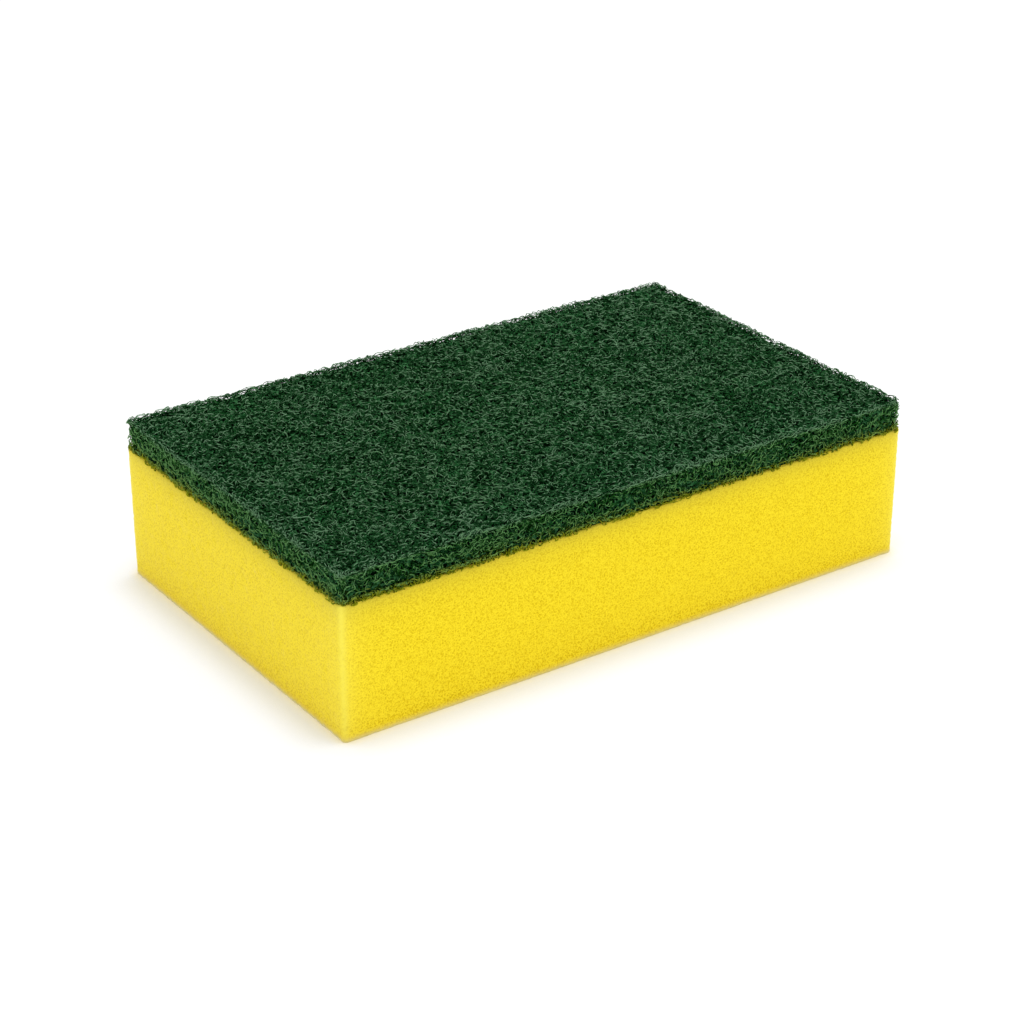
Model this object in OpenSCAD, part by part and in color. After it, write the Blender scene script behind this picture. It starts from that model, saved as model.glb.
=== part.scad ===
// Cleaning sponge: an open-cell foam block with a non-woven scouring pad bonded on its top face.
// The origin is the middle of the face it rests on, +X runs along its length and +Z is up.

/* [Sponge] */
// Length of the foam block
sponge_l = 150; // [110:1:180]
// Width of the foam block
sponge_w = 92; // [70:1:110]

/* [Foam] */
// Height of the foam block
foam_h = 31.5; // [20:0.5:50]
// Rounding of the foam's cut edges
foam_edge_r = 1.2; // [0.6:0.1:3]

/* [Scouring pad] */
// Thickness of the pad, from the bond line to its highest strands
pad_t = 7.6; // [5:0.1:12]
// How far the pad stands out past the foam on every side
pad_overhang = 0.2; // [0:0.1:1]
// Rounding of the pad's upright corners
pad_corner_r = 2; // [1:0.1:5]

/* [Web of strands] */
// Cells of the web from end to end, counted over the top and down both ends
web_columns = 92; // [40:2:94]
// Cells of the web from side to side, counted over the top and down both sides
web_rows = 58; // [30:2:60]
// How much lower the lowest crossings of the strands lie than the highest
strand_drop = 0.9; // [0.2:0.1:1.5]
// Depth of the deepest gaps below the lowest crossings
gap_depth = 1.7; // [0.8:0.1:2.5]
// How far a crossing or a gap strays from its even place, as a share of a cell
stray = 0.34; // [0:0.02:0.36]
// Share of the cells whose strand is broken, so that two gaps run together
broken = 0.2; // [0:0.05:0.5]
// Number that picks another tangle
web_seed = 7; // [1:1:99]

/* [Hidden] */
$fn = 48;

pad_size = [sponge_l, sponge_w] + 2 * pad_overhang * [1, 1];
flat_size = pad_size + 2 * pad_t * [1, 1];  // the web laid out flat, before its sides fold down
shallow_gap = 0.35;                         // depth of the shallowest gap, as a share of the deepest
rim_share = 0.3;                            // share of its depth that a point on the bond line keeps
draws = 4;                                  // random numbers for each point of the web

// A rectangle about the origin with its corners rounded.
module rounded_rect(l, w, r) {
    square([l - 2 * r, w], center = true);
    square([l, w - 2 * r], center = true);
    for (x = [-1, 1], y = [-1, 1])
        translate([x * (l / 2 - r), y * (w / 2 - r)])
            circle(r);
}

// An outline of the foam seen along one side: its two lower corners are rounded, and its upper ones
// lie above the block.
module foam_side(l) {
    translate([0, foam_h / 2 + foam_edge_r])
        rounded_rect(l, foam_h + 2 * foam_edge_r, foam_edge_r);
}

// The open-cell foam, cut as one block. Its top face lies flat under the pad.
module foam_block() {
    color([0.98, 0.86, 0.13])
        intersection() {
            linear_extrude(foam_h)
                rounded_rect(sponge_l, sponge_w, foam_edge_r);
            rotate([90, 0, 0])
                linear_extrude(2 * sponge_w, center = true)
                    foam_side(sponge_l);
            rotate([90, 0, 90])
                linear_extrude(2 * sponge_l, center = true)
                    foam_side(sponge_w);
        }
}

// x, kept within the same distance of zero on either side.
function within(x, far) = min(max(x, -far), far);

// The place on the pad's outline of a point of the web laid out flat. What lies past the top's edge
// folds down the side, and the upright corners are rounded.
function folded(flat) =
    let (half = pad_size / 2,
         down = max(abs(flat.x) - half.x, abs(flat.y) - half.y, 0),
         x = abs(flat.x) * half.x / (half.x + down),
         y = abs(flat.y) * half.y / (half.y + down),
         past = [max(x - half.x + pad_corner_r, 0), max(y - half.y + pad_corner_r, 0)],
         cut = norm(past) > pad_corner_r ? 1 - pad_corner_r / norm(past) : 0)
        [sign(flat.x) * (x - past.x * cut), sign(flat.y) * (y - past.y * cut), pad_t - down];

// A place on the outline moved inwards by a depth. It goes straight towards the nearest point of
// the flat rectangle that lies a thickness in from the pad's sides, on the bond line, so that no two
// places pass each other on the way in.
function sunk(place, depth) =
    let (middle = [within(place.x, pad_size.x / 2 - pad_t), within(place.y, pad_size.y / 2 - pad_t), 0],
         way = place - middle)
        place - depth * way / norm(way);

// Whether three points of the plane run anticlockwise.
function turns_left(a, b, c) = cross(b - a, c - a) > 0;

// The web of strands, as one closed skin over a flat bottom. Crossings and gaps take turns over it
// as the squares of a chessboard do: a crossing stands high, a gap lies deep, and a strand runs
// from crossing to crossing as the ridge between two gaps. A broken strand's cell is folded the
// other way, from gap to gap.
module web() {
    stride = web_rows + 1;
    centre = (web_columns + 1) * stride;
    r = rands(0, 1, draws * centre, web_seed);
    grid = [for (i = [0:web_columns], j = [0:web_rows]) [i, j]];
    on_end = [for (g = grid) g.x == 0 || g.x == web_columns];
    on_side = [for (g = grid) g.y == 0 || g.y == web_rows];
    crossing = [for (g = grid) (g.x + g.y) % 2 == 0];
    flat = [
        for (p = [0:centre - 1])
            let (u = grid[p].x + (on_end[p] ? 0 : stray * (2 * r[draws * p] - 1)),
                 v = grid[p].y + (on_side[p] ? 0 : stray * (2 * r[draws * p + 1] - 1)))
                [(u / web_columns - 0.5) * flat_size.x, (v / web_rows - 0.5) * flat_size.y]
    ];
    points = [
        for (p = [0:centre - 1])
            let (share = r[draws * p + 2],
                 gap = strand_drop + gap_depth * (shallow_gap + (1 - shallow_gap) * share),
                 depth = crossing[p] ? strand_drop * share * share : gap)
                sunk(folded(flat[p]), (on_end[p] || on_side[p] ? rim_share : 1) * depth),
        [0, 0, 0]
    ];
    skin = [
        for (i = [0:web_columns - 1], j = [0:web_rows - 1])
            let (a = i * stride + j, b = a + stride, c = b + 1, d = a + 1,
                 whole = r[draws * a + 3] > broken,
                 ac_fits = turns_left(flat[a], flat[b], flat[c]) && turns_left(flat[a], flat[c], flat[d]),
                 bd_fits = turns_left(flat[a], flat[b], flat[d]) && turns_left(flat[b], flat[c], flat[d]),
                 along_ac = ac_fits && (crossing[a] == whole || !bd_fits))
                each along_ac ? [[a, c, b], [a, d, c]] : [[a, d, b], [b, d, c]]
    ];
    bottom = [
        for (i = [0:web_columns - 1])
            let (a = i * stride, b = a + stride)
                each [[a, b, centre], [b + web_rows, a + web_rows, centre]],
        for (j = [0:web_rows - 1], end = [0, web_columns * stride])
            end == 0 ? [j + 1, j, centre] : [end + j, end + j + 1, centre]
    ];
    polyhedron(points, concat(skin, bottom));
}

// The scouring pad: a springy web of crimped fibres stuck together with resin, cut from a sheet and
// bonded to the foam over its whole face.
module scouring_pad() {
    color([0.09, 0.30, 0.17])
        translate([0, 0, foam_h])
            web();
}

foam_block();
scouring_pad();
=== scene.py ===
"""A cleaning sponge: a block of yellow open-celled foam with a dark green scouring web bonded on top.

The script follows the sponge as it is made: the foam is cast and cut, the web is laid, felted and
glued on, and the whole is put on a pale studio floor.
"""

import math

import bpy
import numpy as np
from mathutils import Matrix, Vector


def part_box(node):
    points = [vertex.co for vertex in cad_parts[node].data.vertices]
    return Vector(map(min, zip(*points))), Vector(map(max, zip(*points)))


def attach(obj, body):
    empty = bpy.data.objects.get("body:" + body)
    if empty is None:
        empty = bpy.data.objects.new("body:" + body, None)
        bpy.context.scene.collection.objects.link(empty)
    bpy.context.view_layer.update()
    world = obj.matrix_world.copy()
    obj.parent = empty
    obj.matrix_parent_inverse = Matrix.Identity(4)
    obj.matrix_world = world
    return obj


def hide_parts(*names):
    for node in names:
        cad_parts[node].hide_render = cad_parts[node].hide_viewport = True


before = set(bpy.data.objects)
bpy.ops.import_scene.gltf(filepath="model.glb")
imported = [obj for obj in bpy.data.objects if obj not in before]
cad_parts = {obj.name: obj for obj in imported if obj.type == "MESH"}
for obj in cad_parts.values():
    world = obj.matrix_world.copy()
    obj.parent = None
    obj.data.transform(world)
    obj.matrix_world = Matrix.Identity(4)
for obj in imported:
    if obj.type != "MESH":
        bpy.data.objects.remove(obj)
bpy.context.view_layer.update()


# ---------------------------------------------------------------------------------------------
# The foam: one block of open-celled polyurethane foam, cast, and cut with a hot wire on every side.
# The cuts run through its bubbles, so its skin is all small pits with pale rims between them.
# ---------------------------------------------------------------------------------------------

foam_low, foam_high = (np.array(corner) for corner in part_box("foam_block"))
foam_edge = 0.0002
foam_corner = 0.0010
foam_grain = 0.00082
foam_seed = 11
foam_stray = 0.25                   # of a step of the grain
foam_crest = 0.0000075              # the deepest that a rim lies
foam_pit = (0.00003, 0.00014)       # the shallowest and the deepest pit
foam_pit_power = 1.5                # the higher, the fewer deep pits
foam_lean = 0.1                     # how far the way out leans where the base's edge begins
# A pale highlight painted along the upright edges.
foam_edge_highlights = ((0.07, 0.0110), (0.18, 0.0040), (0.68, 0.0009))    # how much, and how wide
# A paler, bluer sheen painted on the two ends.
foam_end_sheens = (0.25, 0.0020)
# A shadow painted on the foam under the web's overhang.
foam_web_shadows = (0.62, 0.0026)
# Shade painted near the floor, faintly for some way up and fully at the foot.
foam_foot_shades = ((0.30, 0.0060), (0.70, 0.0008))
foam_cells = 1650.0                 # to a metre, as the blots are
foam_blots = 3200.0
# Ochre in the pits and in the pores of the cell pattern is painted shade; the blots are tone at
# random.
foam_pore = (0.12, 0.62)            # the middle of a cell, and where its pore ends
foam_shares = (0.12, 0.42, 1.3)     # what pits, pores and blots add to a hollow
foam_hollow = (0.33, 1.51)          # of that sum, where the ochre starts and is full
foam_usual = 0.33                   # how hollow most of the foam is
foam_stark = (1.6, 0.4)             # how much more it varies at the foot, and on the ends
foam_stark_foot = (0.07, 0.35)      # how deep the painted foot shade is where that starts, and where it is full
foam_pale_foot = (0.25, 1.0)        # the same for the painted line of light at the very foot
foam_yellow = (0.99, 0.787, 0.024, 1)
# Painted shade in the pits and pores.
foam_ochre_shade = (0.690, 0.475, 0.001, 1)
# Painted sheen on the two ends.
foam_end_sheen = (0.90, 0.748, 0.069, 1)
# Painted highlight along the upright edges.
foam_highlight = (1.0, 0.88, 0.11, 1)
# Painted shadow under the web.
foam_web_shadow = (0.42, 0.365, 0.050, 1)
# Painted shade at the foot.
foam_low_shade = (0.62, 0.42, 0.012, 1)
# A line of light painted along the very foot.
foam_foot_light = (0.86, 0.73, 0.245, 1)


class Value:
    """A socket of a finish. A sum written on it adds Math nodes to that finish."""

    def __init__(self, finish, socket):
        self.finish = finish
        self.socket = socket

    def reckon(self, operation, first, second):
        """The Math node of that operation on the two."""
        return self.finish.node("Math", {"operation": operation}, {0: first, 1: second})

    def __add__(self, other):
        return self.reckon("ADD", self, other)

    def __sub__(self, other):
        return self.reckon("SUBTRACT", self, other)

    def __rsub__(self, other):
        return self.reckon("SUBTRACT", other, self)

    def __mul__(self, other):
        return self.reckon("MULTIPLY", self, other)

    def __pow__(self, other):
        return self.reckon("POWER", self, other)

    __radd__ = __add__
    __rmul__ = __mul__


class Finish:
    """The nodes of one material, or of the sky."""

    def __init__(self, owner):
        self.owner = owner
        self.owner.use_nodes = True
        self.tree = self.owner.node_tree
        self.tree.nodes.clear()

    def node(self, kind, settings, sockets, output=0):
        """Adds a node of that kind: its settings first, then a number or a link into each socket."""
        made = self.tree.nodes.new("ShaderNode" + kind)
        for name, setting in settings.items():
            setattr(made, name, setting)
        for name, value in sockets.items():
            if isinstance(value, Value):
                self.tree.links.new(value.socket, made.inputs[name])
            else:
                made.inputs[name].default_value = value
        return Value(self, made.outputs[output]) if made.outputs else None

    def mixed(self, mask, first, second):
        """The first colour where the mask is 0, the second where it is 1."""
        return self.node("Mix", {"data_type": "RGBA"}, {0: mask, 6: first, 7: second}, 2)

    def eased(self, value, low, high):
        """0 up to low and 1 from high on, with a smooth rise between."""
        return self.node("MapRange", {"interpolation_type": "SMOOTHSTEP"},
                         {"Value": value, "From Min": low, "From Max": high})

    def surface(self, sockets):
        """Closes the finish with a Principled surface and gives the material."""
        skin = self.node("BsdfPrincipled", {}, sockets)
        self.node("OutputMaterial", {}, {"Surface": skin})
        return self.owner


def rounded(places, low, high, edge, corner):
    """Points on a box brought onto the same box with round edges, and the way out at each of them.

    Each point goes to the nearest one of a box that is smaller by the edge's radius all round, and
    from there out again by that radius. The smaller box's upright corners are rounded too, by what
    the sponge's own upright corners have more than its edges.
    """
    inset = np.array([corner, corner, edge])
    inner = np.clip(places, low + inset, high - inset)
    aside = (places - inner)[..., :2]
    reach = np.maximum(np.linalg.norm(aside, axis=-1, keepdims=True), 1e-9)
    inner[..., :2] += aside * np.minimum(1, (corner - edge) / reach)
    out = places - inner
    out /= np.maximum(np.linalg.norm(out, axis=-1, keepdims=True), 1e-9)
    return inner + edge * out, out


def walled_sheet(low, high, grain):
    """A net over a box's floor and up its four walls, as points, crest marks, tiers and triangles.

    The floor is a grid of even squares. Round its border run the walls, one row of points above the
    other, with as many points in each row as the border has. Crests and pits take turns on it as
    the squares of a chessboard do. The last point is the middle of the top, and closes it. Each
    square is split from crest to crest, but for a share of them that are split the other way.
    """
    split_seed, split_share = 5, 0.3
    across, deep, tiers = (max(2, round(float(side) / grain)) for side in high - low)
    i, j = np.meshgrid(np.arange(across + 1), np.arange(deep + 1), indexing="ij")
    border = np.concatenate([
        i[:-1, 0] * (deep + 1), across * (deep + 1) + j[0, :-1],
        i[:0:-1, -1] * (deep + 1) + deep, j[0, :0:-1]])
    share = np.stack([i / across, j / deep, 0 * i], axis=-1).reshape(-1, 3)
    tier = np.arange(tiers, 0, -1)[:, None]
    wall = np.repeat(share[border][None], tiers, axis=0)
    wall[..., 2] = tier / tiers
    places = low + np.concatenate([wall.reshape(-1, 3), share, [[0.5, 0.5, 1]]]) * (high - low)
    crest = np.concatenate([
        ((tier + np.arange(border.size)) % 2 == 0).ravel(), ((i + j) % 2 == 0).ravel(), [True]])
    height = np.concatenate([
        np.repeat(tier[:, 0], border.size), np.zeros(share.shape[0], int), [tiers]])

    rows = np.arange(tiers * border.size).reshape(tiers, -1)
    rows = np.vstack([rows, rows.size + border])
    after = np.roll(rows, -1, axis=1)
    a, b, c, d = rows[:-1], rows[1:], after[1:], after[:-1]
    squares = [np.stack([a, b, c, d], axis=-1).reshape(-1, 4)]
    first = tiers * border.size + (i * (deep + 1) + j)[:-1, :-1]
    squares.append(
        np.stack([first, first + 1, first + deep + 2, first + deep + 1], axis=-1).reshape(-1, 4))
    a, b, c, d = np.concatenate(squares).T
    ridge = crest[a] == (np.random.default_rng(split_seed).random(a.size) > split_share)
    one = np.where(ridge, [a, b, c], [a, b, d])
    two = np.where(ridge, [a, c, d], [b, c, d])
    lid = np.stack([rows[0], after[0], np.full(border.size, len(places) - 1)])
    return places, crest, height, tiers, np.concatenate([one.T, two.T, lid.T])


def formed(name, places, triangles, finish, body="root"):
    """A smooth mesh piece, from its points in metres and its triangles, that rides on the sponge."""
    form = bpy.data.meshes.new(name)
    form.vertices.add(len(places))
    form.vertices.foreach_set("co", places.astype(np.float32).ravel())
    form.loops.add(triangles.size)
    form.loops.foreach_set("vertex_index", triangles.astype(np.int32).ravel())
    form.polygons.add(len(triangles))
    form.polygons.foreach_set("loop_start", np.arange(0, triangles.size, 3, dtype=np.int32))
    form.update(calc_edges=True)
    form.shade_smooth()
    form.materials.append(finish)
    piece = bpy.data.objects.new(name, form)
    bpy.context.collection.objects.link(piece)
    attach(piece, body)
    return piece


def marked(piece, name, values):
    """Lays one number a point on a piece, for its finish to read."""
    mark = piece.data.attributes.new(name, "FLOAT", "POINT")
    mark.data.foreach_set("value", values.astype(np.float32))


def mapped(piece, u, v):
    """Lays the piece's map, from two numbers for each corner of each triangle."""
    sheet = piece.data.uv_layers.new(name="OFBake")
    sheet.data.foreach_set("uv", np.stack([u, v], axis=-1).astype(np.float32).ravel())


def unfolded(piece, places, triangles, hidden):
    """Maps a boxy piece as its box unfolds.

    Each triangle goes flat onto the face that it is nearest to. The ends stand beside the large
    face and the long sides above it. The hidden face, by its number, is drawn small in the corner
    that is left.
    """
    low, high = places.min(axis=0), places.max(axis=0)
    long, wide, tall = high - low
    spot = places[triangles] - low
    middle = spot.mean(axis=1)
    face = np.concatenate([middle, high - low - middle], axis=1).argmin(axis=1)
    gap, small = 0.001, 0.15
    origin = np.array([(long + gap, 0), (0, wide + gap), (0, 0),
                       (long + gap, wide + gap), (0, wide + tall + 2 * gap), (0, 0)])
    origin[hidden] = 0, wide + 2 * tall + 3 * gap
    scale = np.where(face == hidden, small, 1.0)[:, None]
    across = np.array([2, 0, 0, 2, 0, 0])[face]
    upward = np.array([1, 2, 1, 1, 2, 1])[face]
    row = np.arange(len(face))
    u = scale * spot[row, :, across] + origin[face, :1]
    v = scale * spot[row, :, upward] + origin[face, 1:]
    whole = max(long + tall + gap, 2 * wide + gap, wide + 2 * tall + 2 * gap)
    mapped(piece, u / whole, v / whole)


def foam_skin():
    """The foam's points, how deep each lies, and its triangles.

    Every point of the net strays by up to a quarter of a step and is brought back onto the rounded
    block. It then sinks inwards by its own depth: little at a crest, more at a pit. The ring under
    the web and the edges of the base stay where they were cut.
    """
    dice = np.random.default_rng(foam_seed)
    places, crest, height, tiers, triangles = walled_sheet(foam_low, foam_high, foam_grain)
    stray = dice.uniform(-foam_stray, foam_stray, places.shape) * foam_grain
    stray[height == tiers] = 0
    upper = foam_high + [0, 0, foam_edge + foam_grain]
    places, out = rounded(places + stray, foam_low, upper, foam_edge, foam_corner)
    share = dice.random(len(places))
    depth = np.where(crest, foam_crest * share,
                     foam_pit[0] + (foam_pit[1] - foam_pit[0]) * share ** foam_pit_power)
    foot = (height == 0) & (np.abs(out[:, :2]).max(axis=1) > foam_lean)
    depth[(height == tiers) | foot] = 0
    places -= depth[:, None] * out
    places[height == tiers, 2] = foam_high[2]
    return places, depth / foam_pit[1], triangles


def foam_edge_highlight(places):
    """How strong the highlight painted along the upright edges is: bell curves over the distance from
    an upright edge, added up.
    """
    upright = np.hypot(*np.minimum(places - foam_low, foam_high - places)[:, :2].T)
    return sum(most * np.exp(-(upright / width) ** 2) for most, width in foam_edge_highlights)


def foam_end_sheen_mask(places):
    """How strong the paler, bluer sheen painted on the foam's two ends is: a bell curve over the
    distance from them.
    """
    most, width = foam_end_sheens
    return most * np.exp(-(np.minimum(places - foam_low, foam_high - places)[:, 0] / width) ** 2)


def foam_web_shadow_mask(places):
    """How deep the shadow painted under the web's overhang is: the most at the bond line, and dying
    away below it.
    """
    most, fade = foam_web_shadows
    return most * np.exp(-(foam_high[2] - places[:, 2]) / fade)


def foam_foot_shade(places):
    """How deep the shade painted near the floor is, by the foam's height off the base: faintly for
    some way up, fully at the foot.
    """
    height = places[:, 2] - foam_low[2]
    return sum(most * np.exp(-height / fade) for most, fade in foam_foot_shades)


def foam_finish():
    """Yellow foam: ochre painted as shade down in the pits and pores, yellow on their rims, and a
    highlight painted pale along the upright edges.

    The pits, the pores of a cell pattern and soft blots at random add up to how hollow the foam is.
    That strays further from the usual at the foot of the block and on its ends. A paler sheen is
    painted on the ends, a shadow under the web, and shade and a line of light at the foot.
    """
    foam = Finish(bpy.data.materials.new("yellow_foam"))
    spot = foam.node("TexCoord", {}, {}, 3)
    pit, even, edge_highlight, web_shadow, foot_shade = (foam.node("Attribute", {"attribute_name": name}, {}, 2)
                                  for name in ("pit", "even", "edge_highlight", "web_shadow", "foot_shade"))
    cells = foam.node("TexVoronoi", {"feature": "F1"}, {"Vector": spot, "Scale": foam_cells})
    blots = foam.node("TexNoise", {}, {"Vector": spot, "Scale": foam_blots, "Detail": 0.0})
    pore = 1 - foam.eased(cells, *foam_pore)
    hollow = pit * foam_shares[0] + pore * foam_shares[1] + blots * foam_shares[2]
    hollow = foam.eased(hollow, *foam_hollow)
    stark = foam.eased(foot_shade, *foam_stark_foot) * foam_stark[0] + even * foam_stark[1]
    hollow = hollow + (hollow - foam_usual) * stark
    # Ochre painted as shade in the hollows, then a paler sheen painted on the ends, a highlight
    # painted on the upright edges, a shadow painted under the web, and shade and a line of light
    # painted at the foot.
    colour = foam.mixed(even, foam.mixed(hollow, foam_yellow, foam_ochre_shade), foam_end_sheen)
    colour = foam.mixed(edge_highlight, foam.mixed(web_shadow, colour, foam_web_shadow), foam_highlight)
    colour = foam.mixed(foot_shade, colour, foam_low_shade)
    colour = foam.mixed(foam.eased(foot_shade, *foam_pale_foot), colour, foam_foot_light)
    bumps = foam.node("Bump", {}, {"Strength": 0.1, "Distance": 0.0002, "Height": blots - pore})
    return foam.surface({
        "Base Color": colour, "Normal": bumps, "Roughness": 0.9, "Specular IOR Level": 0.05,
        "Sheen Weight": 0.6, "Sheen Roughness": 0.3, "Sheen Tint": (1, 0.95, 0.7, 1)})


foam_places, foam_depths, foam_triangles = foam_skin()
foam = formed("foam", foam_places, foam_triangles, foam_finish())
marked(foam, "pit", foam_depths)
# Masks of painted light and shade: a sheen on the ends, a highlight on the upright edges, a shadow
# under the web, and shade at the foot.
marked(foam, "even", foam_end_sheen_mask(foam_places))
marked(foam, "edge_highlight", foam_edge_highlight(foam_places))
marked(foam, "web_shadow", foam_web_shadow_mask(foam_places))
marked(foam, "foot_shade", foam_foot_shade(foam_places))
unfolded(foam, foam_places, foam_triangles, 5)
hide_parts("foam_block")


# ---------------------------------------------------------------------------------------------
# The heart of the scouring web: crimped nylon fibre, carded into a mat, soaked with resin and
# cured, so dense below its face that no single strand shows. It is glued to the foam.
# ---------------------------------------------------------------------------------------------

web_low, web_high = (np.array(corner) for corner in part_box("scouring_pad"))
heart_seed = 23
heart_depth = 0.0010
heart_grain = 0.0010
heart_stray = 0.25                  # of a step of the grain
heart_pit = 0.0009
heart_edge = 0.0008
# Near black, painted as the shade deep in the web.
heart_deep_shade = (0.0004, 0.0045, 0.0007, 1)
heart_line = (0.0005, 0.0060)       # where a squiggle fades, in squares of its noise
# The lower layers are darker: painted shade of the web's depth.
heart_layers = (                    # place in the noise, its scale, height and colour
    (0.0, 560.0, 0.4, (0.0060, 0.0450, 0.0110, 1)),
    (3.7, 760.0, 0.7, (0.0130, 0.0850, 0.0230, 1)),
    (7.4, 960.0, 1.0, (0.0450, 0.1600, 0.0580, 1)))


def heart_skin():
    """The heart's points and triangles: the web's own box, drawn in, on a net of crests and pits."""
    dice = np.random.default_rng(heart_seed)
    low = web_low + [heart_depth, heart_depth, 0]
    high = web_high - heart_depth
    places, crest, height, tiers, triangles = walled_sheet(low, high, heart_grain)
    places[:, 2] = low[2] + high[2] - places[:, 2]
    stray = dice.uniform(-heart_stray, heart_stray, places.shape) * heart_grain
    places += stray * (height < tiers)[:, None]
    under = low - [0, 0, heart_edge + heart_grain]
    places, out = rounded(places, under, high, heart_edge, heart_edge)
    sunk = np.where(crest, 0, heart_pit) * dice.random(len(places)) * (height < tiers)
    places -= sunk[:, None] * out
    places[height == tiers, 2] = low[2]
    return places, triangles[:, ::-1]


def heart_finish():
    """Near-black green, painted as shade deep in the web, under three layers of squiggles. Each is
    lighter, with less painted shade, and finer than the one below.

    A squiggle runs wherever the layer's own soft noise crosses its middle value.
    """
    heart = Finish(bpy.data.materials.new("web_heart"))
    spot = heart.node("TexCoord", {}, {}, 3)
    colour = heart_deep_shade
    lie = 0.0
    for apart, scale, height, shade in heart_layers:
        field = heart.node("TexNoise", {"noise_dimensions": "4D"},
                           {"Vector": spot, "W": apart, "Scale": scale, "Detail": 0.0})
        line = 1 - heart.eased((field - 0.5) ** 2, *heart_line)
        colour = heart.mixed(line, colour, shade)
        lie = heart.node("Math", {"operation": "MAXIMUM"}, {0: line * height, 1: lie})
    bumps = heart.node("Bump", {}, {"Strength": 0.8, "Distance": 0.0005, "Height": lie})
    return heart.surface({
        "Base Color": colour, "Normal": bumps, "Roughness": 0.7, "Specular IOR Level": 0.01})


heart_places, heart_triangles = heart_skin()
heart = formed("web_heart", heart_places, heart_triangles, heart_finish())
unfolded(heart, heart_places, heart_triangles, 2)
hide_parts("scouring_pad")


# ---------------------------------------------------------------------------------------------
# The strands of the web: the same crimped nylon, a fifth to a third of a millimetre thick with its
# resin, as it curls over the face, folds over the edges and runs down the sides to the bond line.
# ---------------------------------------------------------------------------------------------

web_edge = 0.0018
web_corner = 0.0022
web_half = (web_high - web_low) / 2
web_middle = (web_high + web_low) / 2
web_thick = web_high[2] - web_low[2]
web_hang = 0.0005                   # how far a strand may reach below the bond line
corner_crowd = 0.005                # how far from a corner the strands are drawn to it
corner_pull = 0.55
crimp_long = np.array([0.0027, 0.0052]), (0.8, 1.4)     # lengths of a swing, and how far it swings
crimp_short = np.array([0.0016, 0.0025]), (0.2, 0.8)
crimp_dive = (0.0026, 0.0060), (0.0001, 0.0005)
crimp_turn = 95                     # radians to a metre, at most, of a strand's slow turn
face_points = 63
face_step = 0.00054
# Near black is painted shade, for strands deep in the web.
strand_deep_shade = (0.0004, 0.0050, 0.0007, 1)
strand_green = (0.0120, 0.0740, 0.0190, 1)
# Moss and olive are painted yellow light, thrown onto the strands by the foam.
strand_moss_yellow_lit = (0.0125, 0.0880, 0.0105, 1)
strand_olive_yellow_lit = (0.0750, 0.1100, 0.0020, 1)
# The pale tones are painted highlights, in grey, lichen and straw.
strand_grey_highlight = (0.1520, 0.2850, 0.1600, 1)
strand_lichen_highlight = (0.1280, 0.3000, 0.0980, 1)
strand_straw_highlight = (0.2600, 0.2800, 0.0060, 1)
strand_girths = (0.85, 1.15)        # of its radius, from strand to strand
strand_lumps = (0.7, 1.3)           # and along each one, with its resin
strand_tip = 0.5
tone_own = (0.6, 0.9)
tone_flecks = (0.33, 0.4)           # how strong they are, and what the bond line adds
# Painted shade: a strand darkens with its depth.
tone_shade_depth = 0.0014                  # the depth at which a strand has gone dark
tone_resin = 0.3
# Black here is painted shade, and grey is painted highlight.
tone_green = (0.0, 0.55)            # where black turns to green, and green to grey
tone_highlight = (0.5, 1.0)
# A highlight painted along the ridge round the top, strand by strand.
tone_ridge_highlight = 0.6
# Painted light: strands lighter past the edge, down the ends, lower down the ends, and near the bond
# line.
tone_turned_light = 0.12
tone_end_light = 0.10
tone_down_light = 0.34
tone_bond_light = (0.36, 0.28)            # on the long sides, and what the ends have less
ridge_highlight_shares = (0.4, 1.0)           # on the ends, and on the long sides
ridge_highlight_width = 0.0009
turn_width = 0.0015
bond_width = 0.0022
# The hue: 0 is plain green; moss past the edge and olive at the bond line are painted yellow light
# from the foam.
hue_face = 0.06
hue_turned_yellow_light = 0.30
hue_bond_yellow_light = 0.60
hue_stray = 0.10
hue_moss = (0.05, 0.45)             # where green turns to moss, and moss to olive
hue_olive = (0.5, 0.95)
map_low, map_high = 0.02, 0.96
map_side = 0.012                    # how far apart a strand's sides lie on its map


def swing(dice, along, crowd, lengths, reaches):
    """One sine wave along every strand of a crowd, each with its own length, reach and start."""
    length = dice.uniform(*lengths, (crowd, 1))
    reach = dice.uniform(*reaches, (crowd, 1))
    return reach * np.sin(math.tau * (along / length + dice.random((crowd, 1))))


def spread_out(place, reach, laid):
    """Strands on a flat field, moved a little so that they fill it evenly with those laid before.

    In each round all their points are counted in a grid of cells, and every point moves down the
    slope of that count, which is read between the middles of the four nearest cells.
    """
    wide, rounds, push = 0.0025, 14, 0.06
    count = np.maximum(np.round(2 * reach / wide).astype(int), 2)
    cell = 2 * reach / count
    held = laid[(np.abs(laid) < reach).all(axis=-1)]
    for _ in range(rounds):
        met = np.concatenate([held, place.reshape(-1, 2)])
        where = np.clip(((met + reach) / cell).astype(int), 0, count - 1) @ [count[1], 1]
        filled = np.bincount(where, minlength=count.prod()).reshape(count)
        slope = np.stack(np.gradient(filled / filled.mean()), axis=-1)
        spot = (place + reach) / cell - 0.5
        corner = np.clip(np.floor(spot).astype(int), 0, count - 2)
        share = np.clip(spot - corner, 0, 1)
        for i, j in ((0, 0), (0, 1), (1, 0), (1, 1)):
            weight = np.abs(share - [1 - i, 1 - j]).prod(axis=-1, keepdims=True)
            place = place - push * cell * weight * slope[corner[..., 0] + i, corner[..., 1] + j]
        place = np.clip(place, -reach, reach)
    return place


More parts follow.
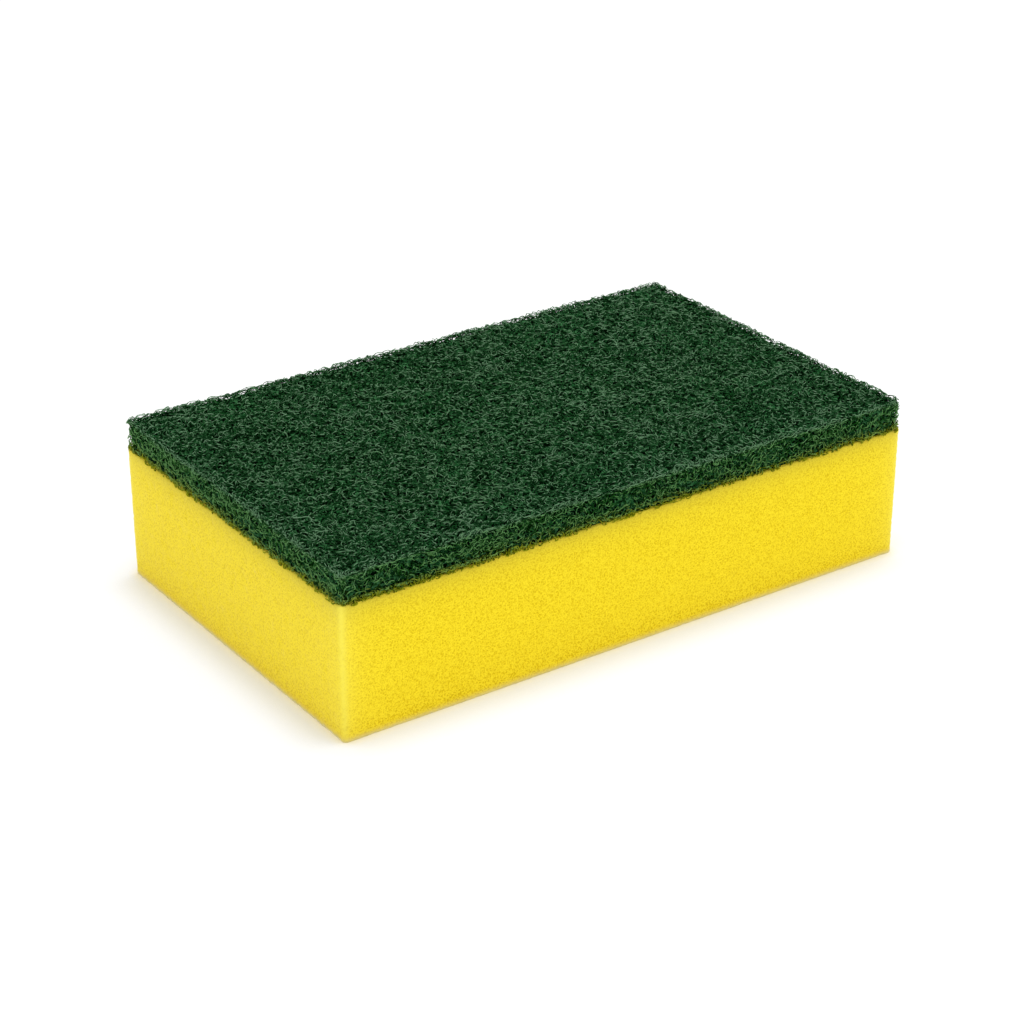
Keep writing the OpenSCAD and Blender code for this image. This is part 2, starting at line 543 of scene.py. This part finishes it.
def walked(dice, crowd, points, step, depths, reach, spread=math.pi / 2, curl=1.0):
    """Strands on a flat field that reaches so far either way, as their places and their depths.

    The strands start one in each cell of a grid, either way along it and off that by up to the
    spread. A strand's heading is the sum of a long swing, a short one and a slow turn. Its place
    is the sum of equal steps along that heading, mirrored back in at the field's border, and then
    smoothed over three points. Its depth swings too, from where it shows to where it dives.
    """
    along = step * np.arange(points)[None]
    heading = math.pi * dice.integers(0, 2, (crowd, 1)) + spread * dice.uniform(-1, 1, (crowd, 1))
    heading = heading + spread * dice.uniform(-crimp_turn, crimp_turn, (crowd, 1)) * along
    for lengths, reaches in (crimp_long, crimp_short):
        heading = heading + swing(dice, along, crowd, lengths * curl, reaches)
    steps = step * np.stack([np.cos(heading), np.sin(heading)], axis=-1)
    columns = min(crowd, round(math.sqrt(crowd * reach[0] / reach[1])))
    cell = np.stack(np.divmod(np.arange(crowd), columns)[::-1], axis=-1)
    share = (cell + dice.random((crowd, 2))) / [columns, math.ceil(crowd / columns)]
    place = ((2 * share - 1) * reach)[:, None] + np.cumsum(steps, axis=1)
    place = reach - np.abs((place + reach) % (4 * reach) - 2 * reach)
    place[:, 1:-1] = (place[:, :-2] + 2 * place[:, 1:-1] + place[:, 2:]) / 4
    dive = swing(dice, along, crowd, *crimp_dive)
    depth = dice.uniform(*depths, (crowd, 1)) + dive - dive.min(axis=1, keepdims=True)
    return place, depth


def skirted(place):
    """Places round the web's side, as places on the web laid out flat.

    The first number runs once round the outline of the top, from one corner through the other
    three. The second is how far down the side the place lies, and it widens that outline. The
    strands crowd at the corners: each place is drawn towards its nearest one, by a bell curve
    over the distance from it.
    """
    half = web_half[:2]
    turns = np.cumsum([0, 2 * half[0], 2 * half[1], 2 * half[0], 2 * half[1]]) - 2 * half.sum()
    nearest = turns[np.abs(place[..., :1] - turns).argmin(axis=-1)]
    away = place[..., 0] - nearest
    run = nearest + away * (1 - corner_pull * np.exp(-(away / corner_crowd) ** 2))
    sides = half[:, None] * [[-1, 1, 1, -1, -1], [-1, -1, 1, 1, -1]]
    outline = np.stack([np.interp(run, turns, side) for side in sides], axis=-1)
    return outline * (half + place[..., 1:]) / half


def folded(flat, depth):
    """Points of the flat web as they lie on the sponge, and the way out at each of them.

    What lies past the top's edge goes straight down the side, and each ring of it is drawn in to
    the length of the edge. The edges are then rounded, and the point sinks inwards by its depth.
    """
    half = web_half[:2]
    down = np.maximum((np.abs(flat) - half).max(axis=-1, keepdims=True), 0)
    level = flat * half / (half + down)
    place = np.concatenate([level + web_middle[:2], web_high[2] - down], axis=-1)
    deep = web_low - [0, 0, web_edge + 2 * web_hang]
    place, out = rounded(place, deep, web_high, web_edge, web_corner)
    return place - depth[..., None] * out, out


def tube_net(crowd, points):
    """The triangles of a crowd of three-sided tubes, each corner by its strand, point and side.

    Between two points, each of the three sides is a pair of triangles, and a triangle closes each
    end. The third side ends on the first corner again, counted as the fourth.
    """
    strand, point, side = np.indices((crowd, points - 1, 3)).reshape(3, -1, 1)
    one = np.arange(crowd)[:, None]
    return np.concatenate([
        np.stack([strand + [0, 0, 0], point + [0, 1, 1], side + [0, 1, 0]]),
        np.stack([strand + [0, 0, 0], point + [0, 0, 1], side + [0, 1, 1]]),
        np.stack([one + [0, 0, 0], 0 * one + [0, 0, 0], 0 * one + [0, 2, 1]]),
        np.stack([one + [0, 0, 0], 0 * one + points - 1 + [0, 0, 0], 0 * one + [0, 1, 2]])], axis=1)


def tube_corners(place, out, radius):
    """Three corners round every point of the strands: one outwards, and one to each side of it.

    They stand in the plane across the strand's run, at the strand's radius from its middle.
    """
    run = np.gradient(place, axis=1)
    aside = np.cross(run, out)
    aside /= np.linalg.norm(aside, axis=-1, keepdims=True)
    lift = np.cross(aside, run)
    lift /= np.linalg.norm(lift, axis=-1, keepdims=True)
    turn = math.tau * np.arange(3)[:, None] / 3
    spoke = np.cos(turn) * lift[..., None, :] + np.sin(turn) * aside[..., None, :]
    return (place[..., None, :] + radius[..., None, None] * spoke).reshape(-1, 3)


def strand_finish(name, shine):
    """Resin-coated nylon: green, with near black painted as shade deep in the web and grey painted as
    highlight at the top of the tone.

    The first number of the map is the strand's tone, stirred by a noise. The second is its hue: plain
    green on the face, moss down the sides, and olive at the bond line, the last two painted as yellow
    light from the foam.
    """
    strand = Finish(bpy.data.materials.new(name))
    spot = strand.node("UVMap", {"uv_map": "OFBake"}, {})
    resin = strand.node("TexNoise", {}, {"Vector": spot, "Scale": 25.0, "Detail": 2.0})
    tone = strand.node("SeparateXYZ", {}, {"Vector": spot}) + resin * tone_resin - tone_resin / 2
    hue = strand.node("SeparateXYZ", {}, {"Vector": spot}, 1)
    # Moss and olive are painted yellow light from the foam.
    moss, olive = strand.eased(hue, *hue_moss), strand.eased(hue, *hue_olive)
    green = strand.mixed(olive, strand.mixed(moss, strand_green, strand_moss_yellow_lit), strand_olive_yellow_lit)
    # The pale tones are painted highlights.
    pale = strand.mixed(olive, strand.mixed(moss, strand_grey_highlight, strand_lichen_highlight), strand_straw_highlight)
    colour = strand.mixed(strand.eased(tone, *tone_green), strand_deep_shade, green)
    colour = strand.mixed(strand.eased(tone, *tone_highlight), colour, pale)
    return strand.surface({
        "Base Color": colour, "Roughness": 0.6, "Specular IOR Level": shine})


def strands(name, flat, depth, radius, shine, dice):
    """One crowd of strands, as a piece of the web.

    Its tone is its own, with flecks along it, and falls with its depth as painted shade. It rises as
    painted light at the ridge round the top, where the strand has turned over it, down the two ends,
    and close to the bond line. Its hue rises over the edge too, and again at the bond line, as
    painted yellow light from the foam.
    """
    crowd, points = depth.shape
    place, out = folded(flat, depth)
    thick = radius * dice.uniform(*strand_girths, (crowd, 1))
    thick = thick * dice.uniform(*strand_lumps, depth.shape)
    thick[:, [0, -1]] *= strand_tip
    strand, point, side = tube_net(crowd, points)
    piece = formed(name, tube_corners(place, out, thick), (strand * points + point) * 3 + side % 3,
                   strand_finish(name, shine))
    over = np.abs(flat) - web_half[:2]
    past = over.max(axis=-1)
    turned = np.clip(past / turn_width, 0, 1)
    ended = np.clip(over[..., 0] / turn_width, 0, 1)
    down = np.clip(over[..., 0] / web_thick, 0, 1)
    bond = np.exp(-np.clip(web_thick - past, 0, None) / bond_width)
    # The highlight painted along the ridge round the top.
    ridge = np.exp(-(over / ridge_highlight_width) ** 2) @ ridge_highlight_shares
    ridge = ridge * dice.uniform(0, tone_ridge_highlight, (crowd, 1))
    tone = dice.uniform(*tone_own, (crowd, 1))
    tone = tone + dice.normal(0, tone_flecks[0], depth.shape) * (1 + tone_flecks[1] * bond)
    # Painted light: lighter past the edge, down the ends and near the bond line.
    tone += ridge + tone_turned_light * turned + tone_end_light * ended + tone_down_light * down
    tone += (tone_bond_light[0] - tone_bond_light[1] * ended) * bond
    # Painted shade by depth.
    tone -= np.clip(depth, 0, None) / tone_shade_depth
    # Painted yellow light from the foam, past the edge and at the bond line.
    hue = hue_face + hue_turned_yellow_light * turned + hue_bond_yellow_light * bond
    hue = hue + dice.uniform(-hue_stray, hue_stray, (crowd, 1))
    mapped(piece, np.clip(tone, map_low, map_high)[strand, point] + map_side * side,
           np.clip(hue, map_low, map_high)[strand, point] + map_side * (side % 2))
    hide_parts("scouring_pad")


ring_shine = 0.02
laid = np.zeros((0, 2))
for name, seed, crowd, radius, depths, margin, shine in (
        ("web_under", 31, 300, 0.00016, (0.0004, 0.0011), web_thick + web_hang, 0.0),
        ("web_middle", 37, 480, 0.00013, (0.0001, 0.0007), 0.0026, 0.0),
        ("web_face", 41, 504, 0.00010, (-0.0001, 0.0004), 0.0020, 0.01),
        ("web_curls", 43, 504, 0.00009, (-0.0003, 0.0002), 0.0010, 0.03)):
    dice = np.random.default_rng(seed)
    reach = web_half[:2] + margin
    flat, depth = walked(dice, crowd, face_points, face_step, depths, reach)
    flat = spread_out(flat, reach, laid)
    laid = np.concatenate([laid, flat.reshape(-1, 2)])
    strands(name, flat, depth, radius, shine, dice)

for name, seed, crowd, points, step, radius, depths, highest, lowest, spread, curl in (
        ("web_side", 59, 400, 56, 0.00050, 0.00010, (-0.0001, 0.0005), 0.0002, web_thick, 0.5, 0.8),
        ("web_fringe", 53, 100, 40, 0.00060, 0.00011, (-0.0004, 0.0003), -0.0014, 0.0012, 1.1, 0.7),
        ("web_rim", 47, 320, 28, 0.00040, 0.00015, (-0.0002, 0.0003), web_thick - 0.0014,
         web_thick + 0.0004, 1.4, 0.5)):
    dice = np.random.default_rng(seed)
    reach = np.array([2 * web_half[:2].sum(), (lowest - highest) / 2])
    ring, depth = walked(dice, crowd, points, step, depths, reach, spread, curl)
    strands(name, skirted(ring + [0, (lowest + highest) / 2]), depth, radius, ring_shine, dice)


# ---------------------------------------------------------------------------------------------
# The studio: a pale floor under an even white sky, with one broad soft lamp high on the side of
# the sponge's far end and a camera that looks down on its near corner.
# ---------------------------------------------------------------------------------------------

floor_width = 8.0
floor_grey = (0.82, 0.82, 0.82, 1)
floor_open = (0.0112, 0.54, 0.77)   # how far the open sky is felt, where it starts, how white it gets
floor_close = (0.0025, 0.5, 0.32)   # the same for the light under the foam
floor_glow = 1.1
floor_leak = (1.0, 0.78, 0.25, 1)
key_place = Vector((0.55, -0.12, 1.45))
key_width = 0.9
key_watts = 6.1
sky_strength = 1.06
camera_aim = Vector((0, -0.001, 0.020))
camera_turn = math.radians(-34.91)
camera_tilt = math.radians(26.29)
camera_away = 0.5752
camera_aside = 0.00166
camera_below = 0.00597
camera_lens = 88.43


def floor_finish():
    """A matt pale floor that shows white to the camera, except close about what stands on it.

    How open the floor lies to the sky is read twice. From further off it brings the white back with
    the distance, so that close by the glow is held back as a painted shadow over the floor's own.
    From close by it adds a painted yellow glow, for the light that leaks out under the foam.
    """
    ground = Finish(bpy.data.materials.new("pale_floor"))
    matt = ground.node("BsdfDiffuse", {}, {"Color": floor_grey})
    clear, near = (
        ground.node("MapRange", {}, {"From Min": start, "Value": ground.node(
            "AmbientOcclusion", {"samples": 8}, {"Distance": reach}, 1)})
        for reach, start, _ in (floor_open, floor_close))
    leak = 1 - near
    colour = ground.mixed(leak, (1, 1, 1, 1), floor_leak)
    glow = ground.node("Emission", {}, {"Color": colour, "Strength": floor_glow})
    seen = ground.node("LightPath", {}, {}) + ground.node("LightPath", {}, {}, 3)
    share = seen * (clear * floor_open[2] + leak * floor_close[2])
    lit = ground.node("MixShader", {}, {0: share, 1: matt, 2: glow})
    ground.node("OutputMaterial", {}, {"Surface": lit})
    return ground.owner


scene = bpy.context.scene
scene.view_settings.view_transform = "Standard"

floor_form = bpy.data.meshes.new("floor")
floor_form.from_pydata([(x * floor_width / 2, y * floor_width / 2, 0)
                        for x, y in ((-1, -1), (1, -1), (1, 1), (-1, 1))], [], [(0, 1, 2, 3)])
floor_form.materials.append(floor_finish())
floor = bpy.data.objects.new("floor", floor_form)
bpy.context.collection.objects.link(floor)

sky = Finish(bpy.data.worlds.new("sky"))
scene.world = sky.owner
seen = sky.node("LightPath", {}, {}) + sky.node("LightPath", {}, {}, 3)
even = sky.node("Background", {}, {"Color": (1, 1, 1, 1), "Strength": sky_strength})
white = sky.node("Background", {}, {"Color": (1, 1, 1, 1), "Strength": 1.0})
sky.node("OutputWorld", {}, {"Surface": sky.node("MixShader", {}, {0: seen, 1: even, 2: white})})

key = bpy.data.lights.new("key", "AREA")
key.shape = "SQUARE"
key.size = key_width
key.energy = key_watts
lamp = bpy.data.objects.new("key", key)
lamp.location = key_place
lamp.rotation_euler = (-key_place).to_track_quat("-Z", "Y").to_euler()
bpy.context.collection.objects.link(lamp)

right = Vector((math.cos(camera_turn), math.sin(camera_turn), 0))
level = Vector((math.sin(camera_turn), -math.cos(camera_turn), 0))
back = math.cos(camera_tilt) * level + Vector((0, 0, math.sin(camera_tilt)))
up = back.cross(right)
lens = bpy.data.cameras.new("camera")
lens.lens = camera_lens
lens.sensor_width = 36.0
camera = bpy.data.objects.new("camera", lens)
camera.location = camera_aim + camera_away * back - camera_aside * right - camera_below * up
camera.rotation_euler = (-back).to_track_quat("-Z", "Y").to_euler()
bpy.context.collection.objects.link(camera)
scene.camera = camera
